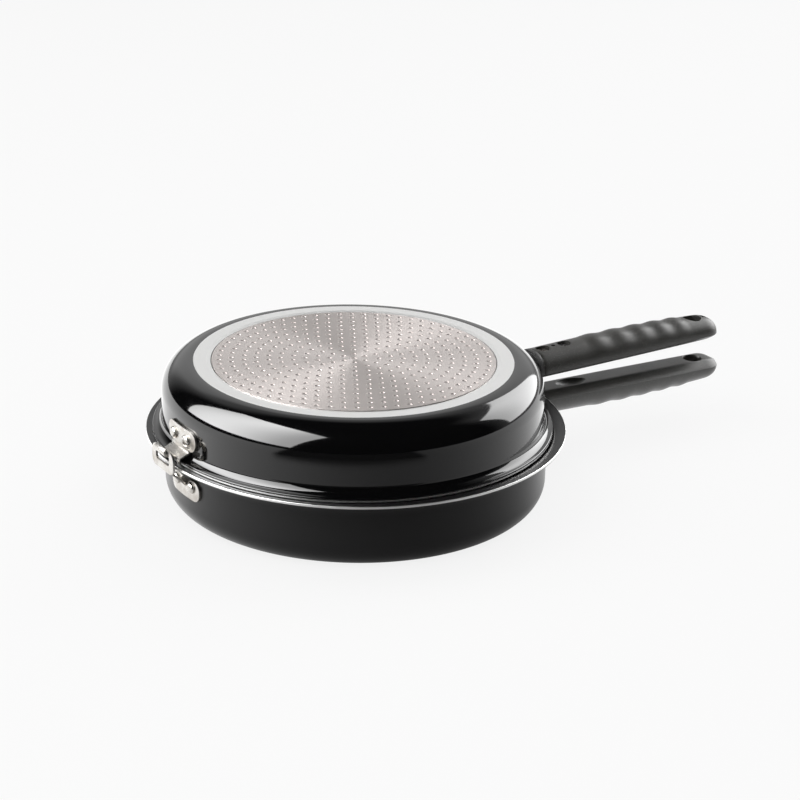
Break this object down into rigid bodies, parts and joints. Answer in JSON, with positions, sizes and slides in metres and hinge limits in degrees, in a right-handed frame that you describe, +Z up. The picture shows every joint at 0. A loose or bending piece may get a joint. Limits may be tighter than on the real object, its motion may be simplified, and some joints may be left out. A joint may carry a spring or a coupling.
{
  "type": "double sided flip pan",
  "caption": "Two round shallow pans hinged rim to rim by a hook and a loop, each with a perforated base plate and a moulded grip, closed to turn food over.",
  "frame": {"origin": "on the pans' axis, in the resting face of the lower pan", "axes": "+Z up through both pans, +X along the handles, hinge at -X, +Y completes the right-handed frame; stored closed"},
  "size_m": [0.4253, 0.262, 0.0891],
  "materials": {
    "lower_pan_coating": "satin charcoal non-stick coat over pressed aluminium, with the base ring and the rim's edge bare",
    "upper_pan_lacquer": "gloss black lacquer over pressed aluminium, with the base ring and the rim's edge bare",
    "plate_steel": "turned",
    "bracket_steel": "polished",
    "rivet_steel": "polished",
    "screw_steel": "plain",
    "collar_plastic": "satin heat-resistant moulding",
    "grip_plastic": "satin heat-resistant moulding with a fine speckle"
  },
  "bodies": {
    "lower_half": {"lower_pan": "lower_pan_coating", "lower_induction_plate": "plate_steel", "lower_hinge_bracket": "bracket_steel", "lower_hinge_rivet_left": "rivet_steel", "lower_hinge_rivet_right": "rivet_steel", "lower_handle_bracket": "bracket_steel", "lower_handle_rivet_left": "rivet_steel", "lower_handle_rivet_right": "rivet_steel", "lower_handle_collar": "collar_plastic", "lower_handle_grip": "grip_plastic", "lower_handle_screw_front": "screw_steel", "lower_handle_screw_rear": "screw_steel"},
    "upper_half": {"upper_pan": "upper_pan_lacquer", "upper_induction_plate": "plate_steel", "upper_hinge_bracket": "bracket_steel", "upper_hinge_rivet_left": "rivet_steel", "upper_hinge_rivet_right": "rivet_steel", "upper_handle_bracket": "bracket_steel", "upper_handle_rivet_left": "rivet_steel", "upper_handle_rivet_right": "rivet_steel", "upper_handle_collar": "collar_plastic", "upper_handle_grip": "grip_plastic", "upper_handle_screw_front": "screw_steel", "upper_handle_screw_rear": "screw_steel"}
  },
  "joints": [
    {"name": "hinge", "type": "hinge", "parent": "lower_half", "child": "upper_half", "pos_m": [-0.13425, 0, 0.0549], "axis": [0, -1, 0], "range_deg": [0, 180]}
  ]
}
